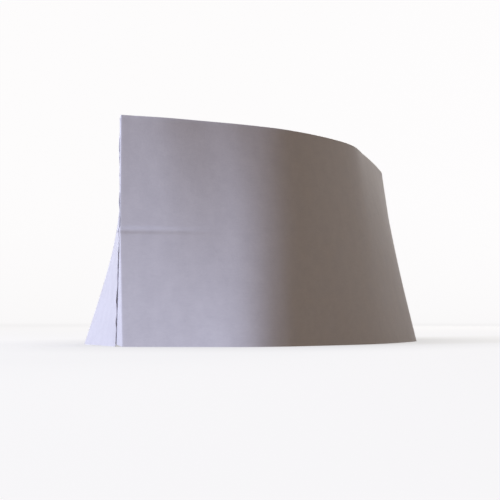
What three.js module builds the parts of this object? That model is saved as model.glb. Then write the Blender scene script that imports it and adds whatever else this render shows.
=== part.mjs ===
// A paper cook's cap of the boat kind: two side panels joined at a front and a back seam,
// and a crown folded down between their upper edges. The glue flaps of the left panel
// lie on the right one. Millimetres, +Z up, the front seam towards -Y, the wearer's left
// at +X. The cap stands on its rim at z = 0.
import * as THREE from 'three';

// The flat paper
const panelHeight = 100;        // a side panel from rim to upper edge
const crownHalfWidth = 51;      // from an upper edge to the crown's middle fold
const flapWidth = 9;            // glue flap beside each seam
const flapMargin = 0.6;         // the flap stops this far inside rim and upper edge

// Walls and gaps
const wall = 1.2;
const crownWall = 1;
const flapWall = 1;
const gap = 0.3;
const seamHalfGap = 0.2;        // the two panels stop this far from the plane of the seams
const crownDrop = 0.4;          // the crown's edges lie this far under the panels' edges

// The opened cap, seen from above: where each level starts at the front seam, and its length
const frontSeam = -120.5;
const levels = {
  rim: { start: frontSeam, length: 241 },
  fold: { start: frontSeam - 2, length: 244 },
  top: { start: frontSeam - 2, length: 245 },
};

// Half breadths of the cap at shares of its length, at the rim, at half the panel's height
// and at the upper edge. Near the front the right panel is pinched in against the crown.
const sections = [
  { along: 0.00, rim: 0, leftFold: 0, rightFold: 0, leftTop: 0, rightTop: 0 },
  { along: 0.06, rim: 26, leftFold: 18, rightFold: 12, leftTop: 13.5, rightTop: 11.5 },
  { along: 0.12, rim: 48, leftFold: 33, rightFold: 25, leftTop: 24, rightTop: 23 },
  { along: 0.18, rim: 57, leftFold: 46, rightFold: 38, leftTop: 34, rightTop: 33 },
  { along: 0.26, rim: 62, leftFold: 55, rightFold: 52, leftTop: 44, rightTop: 44 },
  { along: 0.37, rim: 67, leftFold: 59, rightFold: 59, leftTop: 50, rightTop: 50 },
  { along: 0.48, rim: 68, leftFold: 59, rightFold: 59, leftTop: 50, rightTop: 50 },
  { along: 0.60, rim: 64, leftFold: 53, rightFold: 53, leftTop: 41, rightTop: 41 },
  { along: 0.72, rim: 57, leftFold: 44, rightFold: 44, leftTop: 31, rightTop: 31 },
  { along: 0.83, rim: 41, leftFold: 32, rightFold: 32, leftTop: 21, rightTop: 21 },
  { along: 0.92, rim: 24, leftFold: 19, rightFold: 19, leftTop: 12, rightTop: 12 },
  { along: 1.00, rim: 0, leftFold: 0, rightFold: 0, leftTop: 0, rightTop: 0 },
];

// Fineness of the meshes
const curveSamples = 600;
const panelColumns = 72;
const panelRows = 6;            // even, so that one row lies on the fold
const flapColumns = 3;
const crownColumns = 10;        // even, so that one column lies on the middle fold
const crownStart = 2.5;         // the crown starts where the cap is this wide on each side

const paper = { roughness: 0.85, metalness: 0 };
const materials = {
  panel: new THREE.MeshStandardMaterial({ ...paper, color: '#e8e7ec' }),
  crown: new THREE.MeshStandardMaterial({ ...paper, color: '#e4e3e8' }),
  flap: new THREE.MeshStandardMaterial({ ...paper, color: '#efeef3' }),
};

// One level's outline on one side, from the front seam to the back seam, as plan points.
function outline(level, column) {
  const points = sections.map((section) => new THREE.Vector3(
    section[column],
    level.start + section.along * level.length,
    0,
  ));
  return new THREE.CatmullRomCurve3(points, false, 'centripetal').getSpacedPoints(curveSamples);
}

// The outline moved sideways by a distance, inwards where it is positive.
function inset(points, distance) {
  return points.map((point, i) => {
    const before = points[Math.max(i - 1, 0)];
    const after = points[Math.min(i + 1, points.length - 1)];
    const along = new THREE.Vector3().subVectors(after, before).normalize();
    return new THREE.Vector3(point.x - along.y * distance, point.y + along.x * distance, 0);
  });
}

// The stretch of an outline that stays off the seam plane, cut exactly at that distance.
function offSeam(points, distance) {
  const kept = [];
  points.forEach((point, i) => {
    const last = points[i - 1];
    if (last && (last.x < distance) !== (point.x < distance)) {
      kept.push(last.clone().lerp(point, (distance - last.x) / (point.x - last.x)));
    }
    if (point.x >= distance) {
      kept.push(point);
    }
  });
  return kept;
}

// Points at even steps along an outline, between two lengths along it.
function evenly(points, columns, from = 0, to = Infinity) {
  const lengths = [0];
  for (let i = 1; i < points.length; i += 1) {
    lengths.push(lengths[i - 1] + points[i].distanceTo(points[i - 1]));
  }
  const end = Math.min(to, lengths.at(-1));
  const result = [];
  let i = 1;
  for (let column = 0; column <= columns; column += 1) {
    const wanted = from + (end - from) * column / columns;
    while (i < points.length - 1 && lengths[i] < wanted) {
      i += 1;
    }
    const share = (wanted - lengths[i - 1]) / (lengths[i] - lengths[i - 1]);
    result.push(points[i - 1].clone().lerp(points[i], share));
  }
  return result;
}

// One face of a side panel at some distance inside its outer face: rows of points from the
// rim up. The paper keeps its height along the slope, below and above the fold.
function panelFace(side, distance, sample) {
  const columns = { rim: 'rim', fold: `${side}Fold`, top: `${side}Top` };
  const lines = (offset) => Object.keys(levels).map((name) => (
    sample(offSeam(inset(outline(levels[name], columns[name]), offset), seamHalfGap))
  ));
  const [rim, fold, top] = lines(distance);
  const [outerRim, outerFold, outerTop] = lines(0);
  const rise = (low, high) => Math.sqrt((panelHeight / 2) ** 2 - low.distanceToSquared(high));
  fold.forEach((point, i) => {
    point.z = rise(outerRim[i], outerFold[i]);
  });
  top.forEach((point, i) => {
    point.z = fold[i].z + rise(outerFold[i], outerTop[i]);
  });
  return Array.from({ length: panelRows + 1 }, (_, row) => {
    const share = 2 * row / panelRows;
    return share <= 1
      ? rim.map((point, i) => point.clone().lerp(fold[i], share))
      : fold.map((point, i) => point.clone().lerp(top[i], share - 1));
  });
}

// A closed body between two faces of equal grids, the second one behind the first.
function sheet(front, back) {
  const rows = front.length;
  const columns = front[0].length;
  const positions = [...front.flat(), ...back.flat()].flatMap((point) => [point.x, point.y, point.z]);
  const at = (face, row, column) => (face * rows + row) * columns + column;
  const triangles = [];
  const quad = (a, b, c, d) => triangles.push(a, b, c, a, c, d);
  for (let row = 0; row < rows - 1; row += 1) {
    for (let column = 0; column < columns - 1; column += 1) {
      const [up, next] = [row + 1, column + 1];
      quad(at(0, row, column), at(0, row, next), at(0, up, next), at(0, up, column));
      quad(at(1, row, column), at(1, up, column), at(1, up, next), at(1, row, next));
    }
    const last = columns - 1;
    quad(at(0, row, 0), at(0, row + 1, 0), at(1, row + 1, 0), at(1, row, 0));
    quad(at(0, row, last), at(1, row, last), at(1, row + 1, last), at(0, row + 1, last));
  }
  for (let column = 0; column < columns - 1; column += 1) {
    const last = rows - 1;
    quad(at(0, 0, column), at(1, 0, column), at(1, 0, column + 1), at(0, 0, column + 1));
    quad(at(0, last, column), at(0, last, column + 1), at(1, last, column + 1), at(1, last, column));
  }
  const geometry = new THREE.BufferGeometry();
  geometry.setAttribute('position', new THREE.Float32BufferAttribute(positions, 3));
  geometry.setIndex(triangles);
  geometry.computeVertexNormals();
  return geometry;
}

// The right side is worked out on the left and mirrored.
function mirrored(face) {
  return face.map((row) => row.map((point) => new THREE.Vector3(-point.x, point.y, point.z)));
}

function sidePanel(side) {
  const whole = (points) => evenly(points, panelColumns);
  const outer = panelFace(side, 0, whole);
  const inner = panelFace(side, wall, whole);
  return side === 'left' ? sheet(outer, inner) : sheet(mirrored(inner), mirrored(outer));
}

// Points across the crown: down from one edge to the middle fold and up to the other edge.
function valley(start, middle, end) {
  const half = crownColumns / 2;
  return Array.from({ length: crownColumns + 1 }, (_, i) => (
    i <= half ? start.clone().lerp(middle, i / half) : middle.clone().lerp(end, i / half - 1)
  ));
}

// The crown hangs between the upper edges in a V whose two halves keep their paper width:
// steep at the seams, where the cap is narrow, and nearly flat where it is widest.
function crown() {
  const edge = (side) => {
    const rows = panelFace(side, wall + gap, (points) => evenly(points, panelColumns));
    return rows.at(-1).filter((point) => point.x >= crownStart);
  };
  const left = edge('left');
  const right = edge('right');
  const count = Math.min(left.length, right.length);
  const lower = [];
  const upper = [];
  for (let i = 0; i < count; i += 1) {
    const l = left[Math.round(i * (left.length - 1) / (count - 1))];
    const r = right[Math.round(i * (right.length - 1) / (count - 1))];
    const halfWidth = (l.x + r.x) / 2;
    const depth = Math.sqrt(crownHalfWidth ** 2 - halfWidth ** 2);
    const slope = Math.hypot(halfWidth, depth);
    const height = (l.z + r.z) / 2 - crownDrop;
    const y = (l.y + r.y) / 2;
    const acrossWall = crownWall * slope / depth;
    const upWall = crownWall * slope / halfWidth;
    lower.push(valley(
      new THREE.Vector3(-r.x, r.y, height),
      new THREE.Vector3(0, y, height - depth),
      new THREE.Vector3(l.x, l.y, height),
    ));
    upper.push(valley(
      new THREE.Vector3(-r.x + acrossWall, r.y, height),
      new THREE.Vector3(0, y, height - depth + upWall),
      new THREE.Vector3(l.x - acrossWall, l.y, height),
    ));
  }
  return sheet(upper, lower);
}

// A glue flap on the right panel's outer face, beside the front or the back seam.
function seamFlap(end) {
  const beside = (points) => {
    const line = end === 'front' ? points : [...points].reverse();
    const strip = evenly(line, flapColumns, 0, flapWidth);
    return end === 'front' ? strip : strip.reverse();
  };
  const inner = panelFace('right', -gap, beside);
  const outer = panelFace('right', -gap - flapWall, beside);
  for (const face of [inner, outer]) {
    face[0].forEach((point) => {
      point.z += flapMargin;
    });
    face.at(-1).forEach((point) => {
      point.z -= flapMargin;
    });
  }
  return sheet(mirrored(inner), mirrored(outer));
}

const group = new THREE.Group();

function add(name, geometry, material) {
  const mesh = new THREE.Mesh(geometry, material);
  mesh.name = name;
  group.add(mesh);
}

add('side_panel_left', sidePanel('left'), materials.panel);
add('side_panel_right', sidePanel('right'), materials.panel);
add('crown', crown(), materials.crown);
add('front_seam_flap', seamFlap('front'), materials.flap);
add('back_seam_flap', seamFlap('back'), materials.flap);

export default group;
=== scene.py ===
import math

import bpy
import numpy as np
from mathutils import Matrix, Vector


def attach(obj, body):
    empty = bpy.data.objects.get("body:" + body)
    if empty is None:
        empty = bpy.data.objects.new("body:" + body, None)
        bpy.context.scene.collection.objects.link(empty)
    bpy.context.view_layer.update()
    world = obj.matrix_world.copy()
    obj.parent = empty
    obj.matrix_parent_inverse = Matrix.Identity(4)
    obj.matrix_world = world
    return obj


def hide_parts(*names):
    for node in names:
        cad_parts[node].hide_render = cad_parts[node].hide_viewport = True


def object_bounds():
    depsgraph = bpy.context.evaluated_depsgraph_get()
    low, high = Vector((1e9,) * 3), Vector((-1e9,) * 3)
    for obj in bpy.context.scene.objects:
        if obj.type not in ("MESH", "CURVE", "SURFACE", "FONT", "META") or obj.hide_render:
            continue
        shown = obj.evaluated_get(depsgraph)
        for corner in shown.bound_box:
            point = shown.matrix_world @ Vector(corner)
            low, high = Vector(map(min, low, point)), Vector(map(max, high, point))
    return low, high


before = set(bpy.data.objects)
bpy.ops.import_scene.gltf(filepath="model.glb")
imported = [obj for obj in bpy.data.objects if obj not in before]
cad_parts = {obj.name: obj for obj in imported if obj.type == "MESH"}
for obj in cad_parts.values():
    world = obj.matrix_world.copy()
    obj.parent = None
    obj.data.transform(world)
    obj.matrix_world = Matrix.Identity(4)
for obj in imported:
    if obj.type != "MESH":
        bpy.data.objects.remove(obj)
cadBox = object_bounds()
mm = 0.001
print(f"frame: {len(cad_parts)} nodes loaded")


# The opened cap, in millimetres
cap = {
    "panelHeight": 100,
    "edgeSag": 1.6,             # the upper edge lies this much lower halfway along
    "crownHalfWidth": 51.2,     # from a rolled upper edge to the crown's middle fold
    "paper": 0.3,               # drawn a little thicker than the real sheet
    "panelColumns": 230,        # along a side panel, between the two seams
    "outlineSamples": 60,       # between two sections of the table
    "denseSamples": 1500,       # along a whole line, before it is cut and spaced anew
}
levels = {
    "rim": {"start": -120.5, "length": 241},
    "fold": {"start": -122.5, "length": 244},
    "top": {"start": -122.5, "length": 245},
}
# Half breadths at shares of the length. Near the front the right panel is pinched in.
sections = {
    "along": (0, 0.06, 0.12, 0.18, 0.26, 0.37, 0.48, 0.60, 0.72, 0.83, 0.92, 1),
    "rim": (0, 26, 48, 57, 62, 67, 68, 64, 57, 41, 24, 0),
    "leftFold": (0, 18, 33, 46, 55, 59, 59, 53, 44, 32, 19, 0),
    "rightFold": (0, 12, 25, 38, 52, 59, 59, 53, 44, 32, 19, 0),
    "leftTop": (0, 13.5, 24, 34, 44, 50, 50, 41, 31, 21, 12, 0),
    "rightTop": (0, 11.5, 23, 33, 44, 50, 50, 41, 31, 21, 12, 0),
}


def unit(vectors):
    return vectors / np.linalg.norm(vectors, axis=-1, keepdims=True)


def smoothLine(points, samples):
    # centripetal Catmull-Rom, its end points mirrored outwards
    points = np.vstack([2 * points[0] - points[1], points, 2 * points[-1] - points[-2]])
    share = np.linspace(0, 1, samples, endpoint=False)[:, None]
    pieces = []
    for before, start, end, after in zip(points, points[1:], points[2:], points[3:]):
        lead = np.linalg.norm(start - before) ** 0.5
        span = np.linalg.norm(end - start) ** 0.5
        trail = np.linalg.norm(after - end) ** 0.5
        leave = (start - before) / lead - (end - before) / (lead + span) + (end - start) / span
        reach = (end - start) / span - (after - start) / (span + trail) + (after - end) / trail
        leave, reach = leave * span, reach * span
        pieces.append(
            start
            + leave * share
            + (3 * (end - start) - 2 * leave - reach) * share**2
            + (2 * (start - end) + leave + reach) * share**3
        )
    return np.vstack([*pieces, points[-2]])


def lengthsAlong(line):
    return np.concatenate([[0], np.cumsum(np.linalg.norm(np.diff(line, axis=0), axis=1))])


def evenly(line, count, start=0, end=math.inf):
    # points at even steps between two lengths along the line
    lengths = lengthsAlong(line)
    wanted = np.linspace(start, min(end, lengths[-1]), count)
    return np.column_stack([np.interp(wanted, lengths, axis) for axis in line.T])


def outline(level, column, outward=0):
    # one level of one side, seen from above, from the front seam to the back seam
    along = levels[level]["start"] + np.array(sections["along"]) * levels[level]["length"]
    line = smoothLine(np.column_stack([sections[column], along]), cap["outlineSamples"])
    tangent = unit(np.gradient(line, axis=0))
    return line + outward * np.column_stack([tangent[:, 1], -tangent[:, 0]])


def panelLines(side, sample, outward=0):
    # rim, fold and top line of a panel; the paper nearly keeps its height along the slope
    places = (("rim", "rim"), ("fold", f"{side}Fold"), ("top", f"{side}Top"))
    plans = [sample(outline(level, column)) for level, column in places]
    shown = [sample(outline(level, column, outward)) for level, column in places]
    half = cap["panelHeight"] / 2
    heights = [np.zeros(len(plans[0]))]
    for low, high in zip(plans, plans[1:]):
        heights.append(heights[-1] + np.sqrt(half**2 - ((high - low) ** 2).sum(axis=1)))
    # the upper edge is evened to a straight cut, and the fold line follows it
    along = (plans[2][:, 1] - levels["top"]["start"]) / levels["top"]["length"]
    edge = cap["panelHeight"] - cap["edgeSag"] * np.sin(math.pi * np.clip(along, 0, 1))
    heights = [height * edge / heights[2] for height in heights]
    return [np.column_stack([plan, height]) for plan, height in zip(shown, heights)]


def mirrored(line):
    return line * (-1, 1, 1)


# The seams: the left panel's paper turns round the corner and goes under the right panel
seam = {
    "flapWidth": 10,
    "flapShows": 6,             # the right panel's cut edge lies this far from the fold
    "flapColumns": 14,
    "flapMargin": 0.1,          # the flap stops this far inside the rim and the upper edge
    "flapTaper": 1.1,           # and this much further in at its free edge
    "glueGap": 0.12,            # between the flap and the right panel over it
    "turnReach": 1.1,           # the fold rounds off the last stretch on both sides
    "turnSteps": 5,
}


def crossing(first, second):
    # where two lines meet in plan, each given by its first two points
    start, other = first[0][:2], second[0][:2]
    run, otherRun = (first[1] - first[0])[:2], (second[1] - second[0])[:2]
    share = np.linalg.solve(np.column_stack([run, -otherRun]), other - start)[0]
    return np.array([*(start + share * run), (first[0][2] + second[0][2]) / 2])


def turn(panelLine, flapLine):
    # the rounded fold between two lines that start at the seam, as two halves from its crest
    corner = crossing(panelLine, flapLine)
    reach, steps = seam["turnReach"], seam["turnSteps"]
    ends = [evenly(line, 2, reach, 2 * reach)[0] for line in (panelLine, flapLine)]
    halves = []
    for near, far in (ends, ends[::-1]):
        share = (0.5 + 0.5 * np.arange(steps) / steps)[:, None]
        halves.append(far * (1 - share) ** 2 + 2 * corner * share * (1 - share) + near * share**2)
    return halves


def flapLines(end):
    # the flap's three lines behind the right panel, from the seam to the free edge
    def beside(line):
        line = line if end == "front" else line[::-1]
        return evenly(line, seam["flapColumns"], 0, seam["flapWidth"])

    inward = seam["glueGap"] + cap["paper"]
    lines = [mirrored(line) for line in panelLines("right", beside, -inward)]
    cutBack = seam["flapTaper"] * np.linspace(0, 1, seam["flapColumns"]) + seam["flapMargin"]
    lines[0][:, 2] += cutBack
    lines[2][:, 2] -= cutBack
    return lines


def turnedSeams():
    # left panel lines that run from crest to crest, and the flaps' lines that start there
    dense = panelLines("left", lambda line: evenly(line, cap["denseSamples"]))
    flaps = {end: flapLines(end) for end in ("front", "back")}
    panel, turned = [], {"front": [], "back": []}
    for row, line in enumerate(dense):
        frontHalf, frontFlap = turn(line, flaps["front"][row])
        backHalf, backFlap = turn(line[::-1], flaps["back"][row])
        reach = seam["turnReach"]
        middle = evenly(line, cap["panelColumns"], reach, lengthsAlong(line)[-1] - reach)
        panel.append(np.vstack([frontHalf, middle, backHalf[::-1]]))
        for end, half in (("front", frontFlap), ("back", backFlap)):
            flat = evenly(flaps[end][row], seam["flapColumns"], reach)
            turned[end].append(np.vstack([half, flat]))
    return panel, turned


# The upper edge: the paper rolls over by a small radius and goes on as the crown
roll = {
    "radius": 0.6,
    "seamRadius": 0.2,          # the left panel's roll is this tight at its two ends
    "taper": 5,                 # and has its full radius this far from them
    "steps": 5,
}


def crownDepth(halfWidth):
    return np.sqrt(np.maximum(cap["crownHalfWidth"] ** 2 - halfWidth**2, 0))


def rolledLines(fold, top, seamRadius=roll["radius"]):
    # the lines over the upper edge, worked out on the side where x is positive
    up = unit(top - fold)
    outward = unit(np.cross(unit(np.gradient(top, axis=0)), up))
    lengths = lengthsAlong(top)
    fromSeam = np.clip(np.minimum(lengths, lengths[-1] - lengths) / roll["taper"], 0, 1)
    radius = (seamRadius + (roll["radius"] - seamRadius) * fromSeam)[:, None]
    halfWidth = np.maximum(top[:, 0], 0)
    downCrown = unit(np.column_stack([-halfWidth, 0 * halfWidth, -crownDepth(halfWidth)]))
    between = np.arccos(np.clip((-up * downCrown).sum(axis=1), -1, 1))[:, None]
    centre = top - radius * (up + outward)
    lines = [top - radius * up]
    for step in range(1, roll["steps"] + 1):
        angle = (math.pi - between) * step / roll["steps"]
        lines.append(centre + radius * (outward * np.cos(angle) + up * np.sin(angle)))
    return lines


# The crown hangs between the rolled edges in a V whose halves keep their paper width
crown = {
    "columns": 220,
    "closed": 0.2,              # it ends where its edges are this close to the middle
}


def crownLines():
    edges = []
    for side, seamRadius in (("left", roll["seamRadius"]), ("right", roll["radius"])):
        plain = panelLines(side, lambda line: evenly(line, cap["denseSamples"]))
        edge = rolledLines(plain[1], plain[2], seamRadius)[-1]
        edges.append(evenly(edge[edge[:, 0] >= crown["closed"]], crown["columns"]))
    middle = (edges[0] + edges[1]) / 2
    depth = crownDepth(middle[:, 0])
    valley = np.column_stack([0 * depth, middle[:, 1], middle[:, 2] - depth])
    return [edges[0], valley, mirrored(edges[1])]


leftLines, flaps = turnedSeams()
leftLines = leftLines[:2] + rolledLines(leftLines[1], leftLines[2], roll["seamRadius"])
bare = seam["flapShows"]
rightLines = panelLines(
    "right", lambda line: evenly(line, cap["panelColumns"], bare, lengthsAlong(line)[-1] - bare)
)
rightLines = rightLines[:2] + rolledLines(rightLines[1], rightLines[2])
rightLines = [mirrored(line) for line in rightLines]
print("shape: panel, flap and crown lines ready")


def addNode(tree, kind, inputs=None, **settings):
    # one node with its settings and links; gives back its outputs
    node = tree.nodes.new(kind)
    node.location = (180 * (len(tree.nodes) % 12), -220 * (len(tree.nodes) // 12))
    for name, value in settings.items():
        setattr(node, name, value)
    for socket, value in (inputs or {}).items():
        if isinstance(value, bpy.types.NodeSocket):
            tree.links.new(value, node.inputs[socket])
        else:
            node.inputs[socket].default_value = value
    return node.outputs


# Relief across a crease: a narrow ridge at the fold, and above it a hollow that fades out
creaseProfile = {
    "below": -6 * mm,           # where the profile starts and ends, from the fold
    "above": 34 * mm,
    # the share of the way between the two, and the share of the crease's height
    "points": ((0, 0), (0.11, 0), (0.145, 0.45), (0.2, -0.6), (0.35, -0.5), (1, 0)),
}
# Soft waves in a sheet, which fade towards the seams and the edges
waves = {
    "stretch": (1, 0.3, 0),     # along and up the paper: they stand taller than they are long
    "trough": 0.25,             # noise values that make a full trough and a full crest
    "crest": 0.75,
    "startFromSeam": 2 * mm,    # no waves nearer than this, and full ones from the next
    "fullFromSeam": 26 * mm,
    "fadeFrom": 0.55,           # share of the way from the fold to an edge
}
# A cut edge that stands off what it is glued to, more in some places than in others
cutEdge = {
    "scale": 120.0,             # noise swings in a metre of edge
    "detail": 2.0,
    "down": 0.42,               # noise values at which it lies down and stands up
    "up": 0.64,
    "leastLift": 0.03,
    "curl": 2.0,                # power of the lift's growth towards the edge
}
# How every sheet is laid and closed
laying = {
    "rowEasing": 1.5,           # above 1, rows lie closer together near the fold
    "sharpFold": 0.004,         # even a sharp fold keeps this much softness
    "weld": 0.0005 * mm,        # joins the two faces of the paper along their edges
    "crispFrom": 38,            # degrees of turn above which an edge is shaded sharp
}


def layGrid(tree, given, lines):
    # A grid with one column for each guide point. For each grid point: its column, how far it
    # is from the fold (-1 at the low edge, 1 at the high edge), the guide line before it, and
    # its share of the way to the next line.
    size = addNode(tree, "GeometryNodeAttributeDomainSize", {0: lines}, component="CURVE")
    points, splines = size["Point Count"], size["Spline Count"]
    columns = addNode(tree, "ShaderNodeMath", {0: points, 1: splines}, operation="DIVIDE")[0]
    rowsOver = addNode(tree, "ShaderNodeMath", {0: splines, 1: 2.0}, operation="SUBTRACT")[0]
    rows = addNode(tree, "ShaderNodeMath", {0: given["Rows"], 1: rowsOver}, operation="ADD")[0]
    grid = addNode(tree, "GeometryNodeMeshGrid", {"Vertices X": columns, "Vertices Y": rows})[0]

    index = addNode(tree, "GeometryNodeInputIndex")[0]
    share = addNode(tree, "ShaderNodeMath", {0: index, 1: rows}, operation="DIVIDE")[0]
    column = addNode(tree, "ShaderNodeMath", {0: share}, operation="FLOOR")[0]
    row = addNode(tree, "ShaderNodeMath", {0: index, 1: rows}, operation="MODULO")[0]
    across = addNode(
        tree, "ShaderNodeMapRange", {0: row, 2: given["Rows"], 3: -1.0, 4: 1.0}
    )[0]
    distance = addNode(tree, "ShaderNodeMath", {0: across}, operation="ABSOLUTE")[0]
    eased = addNode(
        tree, "ShaderNodeMath", {0: distance, 1: laying["rowEasing"]}, operation="POWER"
    )[0]
    sign = addNode(tree, "ShaderNodeMath", {0: across}, operation="SIGN")[0]
    fromFold = addNode(tree, "ShaderNodeMath", {0: eased, 1: sign}, operation="MULTIPLY")[0]
    # rows past the high edge follow the rolled edge, one for each of its lines
    past = addNode(tree, "ShaderNodeMath", {0: row, 1: given["Rows"]}, operation="SUBTRACT")[0]
    over = addNode(tree, "ShaderNodeMath", {0: past, 1: 0.0}, operation="MAXIMUM")[0]
    reached = addNode(tree, "ShaderNodeMath", {0: fromFold, 1: over}, operation="ADD")[0]
    reached = addNode(tree, "ShaderNodeMath", {0: reached, 1: 1.0}, operation="ADD")[0]
    line = addNode(tree, "ShaderNodeMath", {0: reached}, operation="FLOOR")[0]
    between = addNode(tree, "ShaderNodeMath", {0: reached, 1: line}, operation="SUBTRACT")[0]
    return grid, {
        "columns": columns, "column": column, "fromFold": fromFold,
        "line": line, "between": between,
    }


def onGuides(tree, lines, point):
    # the place between the two guide lines beside the point, and the places in its column on
    # the low edge, the fold and the high edge
    columns, column = point["columns"], point["column"]
    position = addNode(tree, "GeometryNodeInputPosition")[0]
    start = addNode(
        tree, "ShaderNodeMath", {0: point["line"], 1: columns, 2: column},
        operation="MULTIPLY_ADD",
    )[0]
    end = addNode(tree, "ShaderNodeMath", {0: start, 1: columns}, operation="ADD")[0]
    fold = addNode(tree, "ShaderNodeMath", {0: column, 1: columns}, operation="ADD")[0]
    high = addNode(tree, "ShaderNodeMath", {0: fold, 1: columns}, operation="ADD")[0]
    here, there, *guides = (
        addNode(
            tree, "GeometryNodeSampleIndex", {"Geometry": lines, "Value": position, "Index": i},
            data_type="FLOAT_VECTOR",
        )[0]
        for i in (start, end, column, fold, high)
    )
    straight = addNode(
        tree, "ShaderNodeMix", {0: point["between"], 4: here, 5: there}, data_type="VECTOR"
    )[1]
    return straight, guides


def alongGuides(tree, given, lines, point):
    # how far along the sheet the point is, how far from the nearer end, and a share that falls
    # from 1 at that end to 0 at the crease's reach
    runLength = addNode(tree, "GeometryNodeSplineParameter")["Length"]
    lastColumn = addNode(
        tree, "ShaderNodeMath", {0: point["columns"], 1: 1.0}, operation="SUBTRACT"
    )[0]
    along, total = (
        addNode(
            tree, "GeometryNodeSampleIndex", {"Geometry": lines, "Value": runLength, "Index": i},
            data_type="FLOAT",
        )[0]
        for i in (point["column"], lastColumn)
    )
    left = addNode(tree, "ShaderNodeMath", {0: total, 1: along}, operation="SUBTRACT")[0]
    fromSeam = addNode(tree, "ShaderNodeMath", {0: along, 1: left}, operation="MINIMUM")[0]
    nearSeam = addNode(
        tree, "ShaderNodeMapRange", {0: fromSeam, 2: given["Crease Reach"], 3: 1.0, 4: 0.0},
        interpolation_type="SMOOTHSTEP",
    )[0]
    return along, fromSeam, nearSeam


def foldBend(tree, given, halfShare, nearSeam, guides):
    # away from the seams the fold softens into a bend: sqrt(h*h + s*s) in place of |h|
    low, fold, high = guides
    awayFromSeam = addNode(tree, "ShaderNodeMath", {0: 1.0, 1: nearSeam}, operation="SUBTRACT")[0]
    soft = addNode(
        tree, "ShaderNodeMath",
        {0: given["Fold Softness"], 1: awayFromSeam, 2: laying["sharpFold"]},
        operation="MULTIPLY_ADD",
    )[0]
    softSquare = addNode(tree, "ShaderNodeMath", {0: soft, 1: soft}, operation="MULTIPLY")[0]
    rises = []
    for inner in (halfShare, 0.5):
        square = addNode(
            tree, "ShaderNodeMath", {0: inner, 1: inner, 2: softSquare}, operation="MULTIPLY_ADD"
        )[0]
        root = addNode(tree, "ShaderNodeMath", {0: square}, operation="SQRT")[0]
        plain = addNode(tree, "ShaderNodeMath", {0: inner}, operation="ABSOLUTE")[0]
        rises.append(
            addNode(tree, "ShaderNodeMath", {0: root, 1: plain}, operation="SUBTRACT")[0]
        )
    bend = addNode(tree, "ShaderNodeMath", {0: rises[0], 1: rises[1]}, operation="SUBTRACT")[0]
    edges = addNode(tree, "ShaderNodeVectorMath", {0: low, 1: high}, operation="ADD")[0]
    kink = addNode(
        tree, "ShaderNodeVectorMath", {0: fold, 1: (-2, -2, -2), 2: edges},
        operation="MULTIPLY_ADD",
    )[0]
    return addNode(tree, "ShaderNodeVectorMath", {0: kink, "Scale": bend}, operation="SCALE")[0]


def creaseRelief(tree, given, aboveFold, nearSeam):
    # the crease that runs along the fold from each seam and fades out
    inProfile = addNode(
        tree, "ShaderNodeMapRange",
        {0: aboveFold, 1: creaseProfile["below"], 2: creaseProfile["above"]},
    )[0]
    profile = addNode(tree, "ShaderNodeFloatCurve", {"Value": inProfile})[0]
    mapping = profile.node.mapping
    mapping.clip_min_y = -1
    curve = mapping.curves[0]
    for point in creaseProfile["points"][1:-1]:
        curve.points.new(*point)
    curve.points[0].location = creaseProfile["points"][0]
    curve.points[-1].location = creaseProfile["points"][-1]
    mapping.update()
    height = addNode(
        tree, "ShaderNodeMath", {0: given["Crease Height"], 1: nearSeam}, operation="MULTIPLY"
    )[0]
    return addNode(tree, "ShaderNodeMath", {0: profile, 1: height}, operation="MULTIPLY")[0]


def waveRelief(tree, given, flatPlace, fromSeam, fromFold):
    scaled = addNode(
        tree, "ShaderNodeVectorMath", {0: flatPlace, 1: given["Wave Length"]}, operation="DIVIDE"
    )[0]
    scaled = addNode(
        tree, "ShaderNodeVectorMath", {0: scaled, 1: waves["stretch"]}, operation="MULTIPLY"
    )[0]
    noise = addNode(
        tree, "ShaderNodeTexNoise",
        {"Vector": scaled, "W": given["Seed"], "Scale": 1.0, "Detail": 1.0},
        noise_dimensions="4D",
    )[0]
    signed = addNode(
        tree, "ShaderNodeMapRange",
        {0: noise, 1: waves["trough"], 2: waves["crest"], 3: -1.0, 4: 1.0},
    )[0]
    bySeam = addNode(
        tree, "ShaderNodeMapRange",
        {0: fromSeam, 1: waves["startFromSeam"], 2: waves["fullFromSeam"]},
        interpolation_type="SMOOTHSTEP",
    )[0]
    byHighEdge = addNode(
        tree, "ShaderNodeMapRange", {0: fromFold, 1: 1.0, 2: waves["fadeFrom"]},
        interpolation_type="SMOOTHSTEP",
    )[0]
    byLowEdge = addNode(
        tree, "ShaderNodeMapRange",
        {0: fromFold, 1: -1.0, 2: -waves["fadeFrom"], 3: given["Low Edge Waves"]},
        interpolation_type="SMOOTHSTEP",
    )[0]
    wave = given["Wave Height"]
    for factor in (signed, bySeam, byHighEdge, byLowEdge):
        wave = addNode(tree, "ShaderNodeMath", {0: wave, 1: factor}, operation="MULTIPLY")[0]
    return wave


def edgeRelief(tree, given, aboveFold, along, fromSeam):
    lifting = addNode(
        tree, "ShaderNodeMapRange", {0: fromSeam, 2: given["Lift Reach"], 3: 1.0, 4: 0.0}
    )[0]
    lifting = addNode(
        tree, "ShaderNodeMath", {0: lifting, 1: cutEdge["curl"]}, operation="POWER"
    )[0]
    edgePlace = addNode(tree, "ShaderNodeMath", {0: aboveFold, 1: along}, operation="ADD")[0]
    uneven = addNode(
        tree, "ShaderNodeTexNoise",
        {"W": edgePlace, "Scale": cutEdge["scale"], "Detail": cutEdge["detail"]},
        noise_dimensions="1D",
    )[0]
    uneven = addNode(
        tree, "ShaderNodeMapRange",
        {0: uneven, 1: cutEdge["down"], 2: cutEdge["up"], 3: cutEdge["leastLift"]},
    )[0]
    lift = given["Edge Lift"]
    for factor in (lifting, uneven):
        lift = addNode(tree, "ShaderNodeMath", {0: lift, 1: factor}, operation="MULTIPLY")[0]
    return lift


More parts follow.
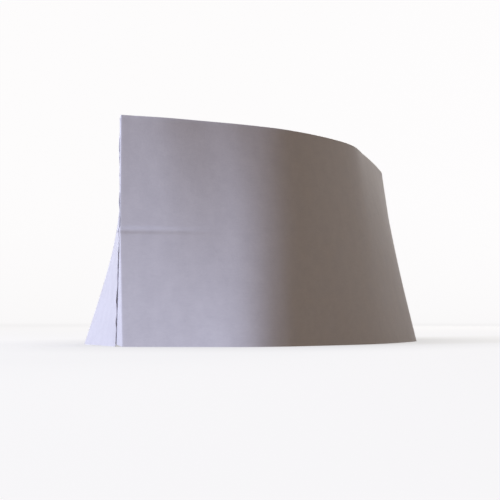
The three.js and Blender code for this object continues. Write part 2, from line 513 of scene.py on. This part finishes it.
def closedWall(tree, given, sheet):
    # the sheet and its back, joined to one closed wall of the paper's thickness
    face = addNode(tree, "GeometryNodeSetShadeSmooth", {"Geometry": sheet})[0]
    inwards = addNode(
        tree, "ShaderNodeMath", {0: given["Thickness"], 1: given["Outward"]}, operation="MULTIPLY"
    )[0]
    inwards = addNode(tree, "ShaderNodeMath", {0: inwards, 1: -1.0}, operation="MULTIPLY")[0]
    back = addNode(
        tree, "GeometryNodeExtrudeMesh",
        {"Mesh": face, "Offset Scale": inwards, "Individual": False}, mode="FACES",
    )
    wall = addNode(tree, "GeometryNodeFlipFaces", {"Mesh": back["Mesh"]})[0]
    both = addNode(tree, "GeometryNodeJoinGeometry", {0: face})[0]
    tree.links.new(wall, both.node.inputs[0])
    closed = addNode(
        tree, "GeometryNodeMergeByDistance", {"Geometry": both, "Distance": laying["weld"]}
    )[0]
    turning = addNode(tree, "GeometryNodeInputMeshEdgeAngle")["Unsigned Angle"]
    crisp = addNode(
        tree, "ShaderNodeMath", {0: turning, 1: math.radians(laying["crispFrom"])},
        operation="GREATER_THAN",
    )[0]
    closed = addNode(
        tree, "GeometryNodeSetShadeSmooth",
        {"Geometry": closed, "Selection": crisp, "Shade Smooth": False}, domain="EDGE",
    )[0]
    # the rim is cut level, so the inner face stops on the floor too
    position = addNode(tree, "GeometryNodeInputPosition")[0]
    at = addNode(tree, "ShaderNodeSeparateXYZ", {0: position})
    height = addNode(tree, "ShaderNodeMath", {0: at[2], 1: 0.0}, operation="MAXIMUM")[0]
    levelled = addNode(tree, "ShaderNodeCombineXYZ", {0: at[0], 1: at[1], 2: height})[0]
    return addNode(
        tree, "GeometryNodeSetPosition", {"Geometry": closed, "Position": levelled}
    )[0]


def buildPaperTree():
    # A sheet laid over guide lines. The first three lines are its low edge, its fold and its
    # high edge, and any others follow its rolled edge. All lines have the same point count.
    tree = bpy.data.node_groups.new("layPaper", "GeometryNodeTree")
    for name, kind in {
        "Lines": "Object", "Rows": "Int", "Height": "Float", "Outward": "Float",
        "Fold Softness": "Float", "Crease Height": "Float", "Crease Reach": "Float",
        "Wave Height": "Float", "Wave Length": "Float", "Low Edge Waves": "Float",
        "Edge Lift": "Float", "Lift Reach": "Float", "Push Direction": "Vector",
        "Thickness": "Float", "Seed": "Float", "Material": "Material",
    }.items():
        tree.interface.new_socket(name=name, in_out="INPUT", socket_type=f"NodeSocket{kind}")
    tree.interface.new_socket(name="Paper", in_out="OUTPUT", socket_type="NodeSocketGeometry")
    given = addNode(tree, "NodeGroupInput")

    lines = addNode(tree, "GeometryNodeObjectInfo", {"Object": given["Lines"]})["Geometry"]
    grid, point = layGrid(tree, given, lines)
    straight, guides = onGuides(tree, lines, point)
    along, fromSeam, nearSeam = alongGuides(tree, given, lines, point)
    fromFold = point["fromFold"]
    halfShare = addNode(tree, "ShaderNodeMath", {0: fromFold, 1: 0.5}, operation="MULTIPLY")[0]
    bend = foldBend(tree, given, halfShare, nearSeam, guides)
    place = addNode(tree, "ShaderNodeVectorMath", {0: straight, 1: bend}, operation="ADD")[0]
    sheet = addNode(
        tree, "GeometryNodeSetPosition", {"Geometry": grid, "Position": place}
    )[0]

    # where the point lies on the flat paper, in metres, kept for the material
    aboveFold = addNode(
        tree, "ShaderNodeMath", {0: halfShare, 1: given["Height"]}, operation="MULTIPLY"
    )[0]
    flatPlace = addNode(tree, "ShaderNodeCombineXYZ", {0: along, 1: aboveFold, 2: fromSeam})[0]
    sheet = addNode(
        tree, "GeometryNodeStoreNamedAttribute",
        {"Geometry": sheet, "Name": "flatPaper", "Value": flatPlace},
        data_type="FLOAT_VECTOR", domain="POINT",
    )[0]

    # relief, pushed out from the face
    crease = creaseRelief(tree, given, aboveFold, nearSeam)
    wave = waveRelief(tree, given, flatPlace, fromSeam, fromFold)
    lift = edgeRelief(tree, given, aboveFold, along, fromSeam)
    relief = addNode(tree, "ShaderNodeMath", {0: crease, 1: wave}, operation="ADD")[0]
    relief = addNode(tree, "ShaderNodeMath", {0: relief, 1: lift}, operation="ADD")[0]
    relief = addNode(
        tree, "ShaderNodeMath", {0: relief, 1: given["Outward"]}, operation="MULTIPLY"
    )[0]
    normal = addNode(tree, "GeometryNodeInputNormal")[0]
    heading = addNode(
        tree, "ShaderNodeVectorMath", {0: normal, 1: given["Push Direction"]}, operation="MULTIPLY"
    )[0]
    push = addNode(tree, "ShaderNodeVectorMath", {0: heading, "Scale": relief}, operation="SCALE")[0]
    sheet = addNode(
        tree, "GeometryNodeSetPosition", {"Geometry": sheet, "Offset": push}
    )[0]

    closed = closedWall(tree, given, sheet)
    whole = addNode(tree, "GeometryNodeRealizeInstances", {"Geometry": closed})[0]
    done = addNode(
        tree, "GeometryNodeSetMaterial", {"Geometry": whole, "Material": given["Material"]}
    )[0]
    addNode(tree, "NodeGroupOutput", {"Paper": done})
    return tree


def guideObject(name, lines):
    # guide lines as one curve object, one straight-segment spline for each line
    curve = bpy.data.curves.new(name, "CURVE")
    curve.dimensions = "3D"
    for line in lines:
        spline = curve.splines.new("POLY")
        spline.points.add(len(line) - 1)
        spline.points.foreach_set("co", np.column_stack([line * mm, np.ones(len(line))]).ravel())
    guide = bpy.data.objects.new(name, curve)
    bpy.context.scene.collection.objects.link(guide)
    return guide


def layPaper(name, lines, **inputs):
    # lays a sheet over the lines and gives back its plain mesh object
    guide = guideObject(f"{name}_lines", lines)
    piece = bpy.data.objects.new(name, bpy.data.meshes.new(name))
    bpy.context.scene.collection.objects.link(piece)
    modifier = piece.modifiers.new("layPaper", "NODES")
    modifier.node_group = paperTree
    values = {"Lines": guide, **inputs}
    for item in paperTree.interface.items_tree:
        if item.in_out == "INPUT":
            modifier[item.identifier] = values[item.name]
    graph = bpy.context.evaluated_depsgraph_get()
    laid = bpy.data.meshes.new_from_object(
        piece.evaluated_get(graph), preserve_all_data_layers=True, depsgraph=graph
    )
    piece.modifiers.clear()
    piece.data = laid
    if values["Outward"] < 0:
        laid.flip_normals()
    bpy.data.objects.remove(guide)
    print(f"paper: {name}, {len(laid.polygons)} faces")
    return piece


def linear(hexColour):
    # sRGB hex to the linear colour that Blender's sockets take
    parts = [int(hexColour[i:i + 2], 16) / 255 for i in (1, 3, 5)]
    return (*(p / 12.92 if p <= 0.04045 else ((p + 0.055) / 1.055) ** 2.4 for p in parts), 1)


# Machine-glazed bleached paper: dull white, with a faint gloss from the hot cylinder
glazedPaper = {
    "cloudSize": 9 * mm,        # uneven fibre density, seen as faint clouds
    "cloudRoughness": 0.55,
    "fibreLength": 3.2 * mm,    # drawn coarser than the real 2 mm, to show at all
    "fibreWidth": 1.3 * mm,
    "fibreTangle": 1.4,
    "fibresInMottle": 0.5,      # their share in the mottled colour, on top of the clouds
    "mottle": (0.5, 1.0),       # clouds and fibres together, at the dark and the light
    "toothSize": 1.4 * mm,      # the felt side's fine tooth, drawn coarse
    "toothDepth": 0.09 * mm,
    "toothRoughness": 0.6,
    "toothStrength": 0.45,
    "fibresInTooth": 0.4,
    "glossClouds": (0.3, 0.7),  # cloud values at the glossiest and the dullest paper
    "glossSpread": (-0.04, 0.05),
}


def buildPaper(name, light, dark, roughness):
    material = bpy.data.materials.new(name)
    material.use_nodes = True
    tree = material.node_tree
    tree.nodes.clear()
    flat = addNode(tree, "ShaderNodeAttribute", attribute_name="flatPaper")["Vector"]
    clouds = addNode(
        tree, "ShaderNodeTexNoise",
        {"Vector": flat, "Scale": 1 / glazedPaper["cloudSize"], "Detail": 3.0,
         "Roughness": glazedPaper["cloudRoughness"]},
    )[0]
    stretch = (1 / glazedPaper["fibreLength"], 1 / glazedPaper["fibreWidth"], 0)
    streaks = addNode(
        tree, "ShaderNodeVectorMath", {0: flat, 1: stretch}, operation="MULTIPLY"
    )[0]
    fibres = addNode(
        tree, "ShaderNodeTexNoise",
        {"Vector": streaks, "Scale": 1.0, "Detail": 2.0, "Distortion": glazedPaper["fibreTangle"]},
    )[0]
    mottle = addNode(
        tree, "ShaderNodeMath", {0: fibres, 1: glazedPaper["fibresInMottle"], 2: clouds},
        operation="MULTIPLY_ADD",
    )[0]
    darkest, lightest = glazedPaper["mottle"]
    mottle = addNode(tree, "ShaderNodeMapRange", {0: mottle, 1: darkest, 2: lightest})[0]
    colour = addNode(
        tree, "ShaderNodeMix", {0: mottle, 6: linear(dark), 7: linear(light)}, data_type="RGBA"
    )[2]
    tooth = addNode(
        tree, "ShaderNodeTexNoise",
        {"Vector": flat, "Scale": 1 / glazedPaper["toothSize"], "Detail": 4.0,
         "Roughness": glazedPaper["toothRoughness"]},
    )[0]
    grain = addNode(
        tree, "ShaderNodeMath", {0: fibres, 1: glazedPaper["fibresInTooth"], 2: tooth},
        operation="MULTIPLY_ADD",
    )[0]
    bump = addNode(
        tree, "ShaderNodeBump",
        {"Strength": glazedPaper["toothStrength"], "Distance": glazedPaper["toothDepth"],
         "Height": grain},
    )[0]
    fromCloud, toCloud = glazedPaper["glossClouds"]
    glossier, duller = glazedPaper["glossSpread"]
    gloss = addNode(
        tree, "ShaderNodeMapRange",
        {0: clouds, 1: fromCloud, 2: toCloud, 3: roughness + glossier, 4: roughness + duller},
    )[0]
    shader = addNode(
        tree, "ShaderNodeBsdfPrincipled",
        {"Base Color": colour, "Roughness": gloss, "IOR": 1.5, "Specular IOR Level": 0.4,
         "Normal": bump},
    )[0]
    addNode(tree, "ShaderNodeOutputMaterial", {"Surface": shader})
    return material


panelPaper = buildPaper("glazedPaperPanel", light="#efeef2", dark="#e5e4e9", roughness=0.55)
crownPaper = buildPaper("glazedPaperCrown", light="#eeedf1", dark="#e4e3e7", roughness=0.57)
# the flap is the left panel's own paper, drawn lighter than the panels: a lighter copy, painted
# light for the bright strip it shows at the seam
flapPaperPaintedLighter = buildPaper("glazedPaperFlapPaintedLighter", light="#f2f1f5", dark="#e8e7ec", roughness=0.55)
paperTree = buildPaperTree()
print("materials and paper tree ready")

# What a sheet does unless its piece says otherwise
stillPaper = {
    "Rows": 80,
    "Height": cap["panelHeight"] * mm,
    "Outward": 1.0,
    "Fold Softness": 0.2,
    "Crease Height": 0.0,
    "Crease Reach": 55 * mm,
    "Wave Height": 0.0,
    "Wave Length": 60 * mm,
    "Low Edge Waves": 1.0,      # 1 lets the waves run out over the low edge, 0 stills them
    "Edge Lift": 0.0,
    "Lift Reach": 7 * mm,
    "Push Direction": (1, 1, 0),    # relief moves a panel sideways only, so its edges keep level
    "Thickness": cap["paper"] * mm,
    "Seed": 0.0,
}
panel = {"Crease Height": 0.7 * mm, "Wave Height": 0.45 * mm, "Material": panelPaper}
pieces = {
    "side_panel_left": {"lines": leftLines, **panel, "Seed": 3.0},
    "side_panel_right": {
        "lines": rightLines, **panel, "Outward": -1.0, "Seed": 11.0, "Edge Lift": 0.5 * mm,
    },
    "crown": {
        "lines": crownLines(), "Fold Softness": 0.004, "Wave Height": 0.3 * mm,
        "Low Edge Waves": 0.0, "Push Direction": (1, 1, 1), "Seed": 7.0, "Material": crownPaper,
    },
    "front_seam_flap": {
        "lines": flaps["front"], "Outward": -1.0, "Crease Height": 0.7 * mm,
        "Material": flapPaperPaintedLighter,
    },
    "back_seam_flap": {
        "lines": flaps["back"], "Crease Height": 0.7 * mm, "Material": flapPaperPaintedLighter,
    },
}
for node, inputs in pieces.items():
    lines = inputs.pop("lines")
    sheet = layPaper(f"{node}_paper", lines, **{**stillPaper, **inputs})
    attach(sheet, "root")
    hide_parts(node)
print("pieces: all laid")


# A round pale studio, in metres: a floor that curves up into a wall all the way round
studio = {
    "floorRadius": 2.6,
    "bend": 0.9,
    "wallHeight": 2.5,
    "spokes": 96,
    "floorRings": 6,
    "bendSteps": 12,
    "paint": "#8c8b8a",
    "glow": "#fcfcfd",
    "glowNear": (0.2, 0.83),    # how far from the middle, and how strong there
    "glowFar": (3.4, 0.97),
    "paintedShadowReach": 0.09,       # painted contact shadow: the floor's glow is dimmed this close under the cap
    "paintedShadowGlow": 0.45,        # the share of the glow that the painted shadow leaves there
}


def buildStudio():
    radius, bend = studio["floorRadius"], studio["bend"]
    rings = studio["floorRings"]
    profile = [(radius * (step / rings) ** 2, 0) for step in range(1, rings + 1)]
    for step in range(1, studio["bendSteps"] + 1):
        angle = math.pi / 2 * step / studio["bendSteps"]
        profile.append((radius + bend * math.sin(angle), bend * (1 - math.cos(angle))))
    profile.append((radius + bend, studio["wallHeight"]))
    spokes = studio["spokes"]
    vertices = [(0, 0, 0)]
    for distance, height in profile:
        for spoke in range(spokes):
            angle = 2 * math.pi * spoke / spokes
            vertices.append((distance * math.cos(angle), distance * math.sin(angle), height))
    faces = [(0, 1 + i, 1 + (i + 1) % spokes) for i in range(spokes)]
    for ring in range(len(profile) - 1):
        for i in range(spokes):
            inner, outer = 1 + ring * spokes, 1 + (ring + 1) * spokes
            following = (i + 1) % spokes
            faces.append((inner + i, outer + i, outer + following, inner + following))
    mesh = bpy.data.meshes.new("studio")
    mesh.from_pydata(vertices, [], faces)
    mesh.shade_smooth()
    return mesh


def buildStudioPaint():
    # matt paint that glows, so the backdrop is pale however the cap is lit; near the cap its glow is
    # dimmed by ambient occlusion, a painted contact shadow
    material = bpy.data.materials.new("studioPaint")
    material.use_nodes = True
    tree = material.node_tree
    tree.nodes.clear()
    where = addNode(tree, "ShaderNodeTexCoord")["Object"]
    away = addNode(tree, "ShaderNodeVectorMath", {0: where}, operation="LENGTH")["Value"]
    near, nearGlow = studio["glowNear"]
    far, farGlow = studio["glowFar"]
    glow = addNode(
        tree, "ShaderNodeMapRange", {0: away, 1: near, 2: far, 3: nearGlow, 4: farGlow}
    )[0]
    # painted contact shadow: the glow is dimmed where the cap hides its surroundings
    paintedShadowOpenness = addNode(
        tree, "ShaderNodeAmbientOcclusion", {"Distance": studio["paintedShadowReach"]}
    )["AO"]
    shade = addNode(tree, "ShaderNodeMapRange", {0: paintedShadowOpenness, 3: studio["paintedShadowGlow"]})[0]
    glow = addNode(tree, "ShaderNodeMath", {0: glow, 1: shade}, operation="MULTIPLY")[0]
    paint = addNode(
        tree, "ShaderNodeBsdfPrincipled",
        {"Base Color": linear(studio["paint"]), "Roughness": 0.95, "Specular IOR Level": 0.0,
         "Emission Color": linear(studio["glow"]), "Emission Strength": glow},
    )[0]
    addNode(tree, "ShaderNodeOutputMaterial", {"Surface": paint})
    return material


floor = bpy.data.objects.new("studio", buildStudio())
floor.data.materials.append(buildStudioPaint())
floor.visible_diffuse = False       # the cap's own shading comes from the lamps alone
bpy.context.scene.collection.objects.link(floor)

# Lamps: a cool soft light from the front left, and a weak warm one from behind that grazes
# the cap. Angles are in degrees, round from the front and up from the floor.
lamps = {
    "window": {"azimuth": -23, "elevation": 17, "watts": 6.3, "colour": (0.7, 0.755, 1.0)},
    "behind": {"azimuth": 200, "elevation": 24, "watts": 2.15, "colour": (1.0, 0.95, 0.88)},
}
softLamp = {
    "distance": 1.7,
    "size": 0.5,
    "spread": 90,               # narrow, as if a grid stood before the lamp
}
middle = (cadBox[0] + cadBox[1]) / 2


def fromMiddle(azimuth, elevation, distance):
    # a place at this distance from the middle of the cap
    a, e = math.radians(azimuth), math.radians(elevation)
    toward = Vector((math.sin(a) * math.cos(e), -math.cos(a) * math.cos(e), math.sin(e)))
    return middle + toward * distance


for name, lamp in lamps.items():
    light = bpy.data.lights.new(name, "AREA")
    light.shape = "DISK"
    light.size = softLamp["size"]
    light.spread = math.radians(softLamp["spread"])
    light.energy = lamp["watts"]
    light.color = lamp["colour"]
    holder = bpy.data.objects.new(name, light)
    holder.location = fromMiddle(lamp["azimuth"], lamp["elevation"], softLamp["distance"])
    holder.rotation_euler = (middle - holder.location).to_track_quat("-Z", "Y").to_euler()
    holder.visible_camera = False
    bpy.context.scene.collection.objects.link(holder)

# Weak warm light from all round
air = {"colour": "#ffdec3", "strength": 0.147}
world = bpy.data.worlds.new("studioAir")
world.use_nodes = True
background = world.node_tree.nodes["Background"]
background.inputs["Color"].default_value = linear(air["colour"])
background.inputs["Strength"].default_value = air["strength"]
bpy.context.scene.world = world
bpy.context.scene.view_settings.view_transform = "Standard"

# The camera stands low, just above the floor, because the photo looks up at the cap. In
# metres, its sensor in millimetres.
eye = {
    "azimuth": 34,              # degrees round from the front
    "height": 0.012,
    "distance": 0.55,
    "aimHeight": 0.048,         # it looks past the middle of the cap, at this height
    "aimAside": -0.012,         # and this far to the right of it
    "width": 0.262,             # how much the picture shows across, at that distance
    "sensorWidth": 36,
    "clipStart": 0.01,
}
camera = bpy.data.cameras.new("camera")
camera.sensor_width = eye["sensorWidth"]
camera.lens = eye["sensorWidth"] * eye["distance"] / eye["width"]
camera.clip_start = eye["clipStart"]
cameraHolder = bpy.data.objects.new("camera", camera)
turnBy = math.radians(eye["azimuth"])
rightward = Vector((math.cos(turnBy), math.sin(turnBy), 0))
aim = Vector((middle.x, middle.y, eye["aimHeight"])) + rightward * eye["aimAside"]
cameraHolder.location = aim + Vector(
    (math.sin(turnBy) * eye["distance"], -math.cos(turnBy) * eye["distance"], 0)
)
cameraHolder.location.z = eye["height"]
cameraHolder.rotation_euler = (aim - cameraHolder.location).to_track_quat("-Z", "Y").to_euler()
bpy.context.scene.collection.objects.link(cameraHolder)
bpy.context.scene.camera = cameraHolder
print("studio, lamps and camera ready")
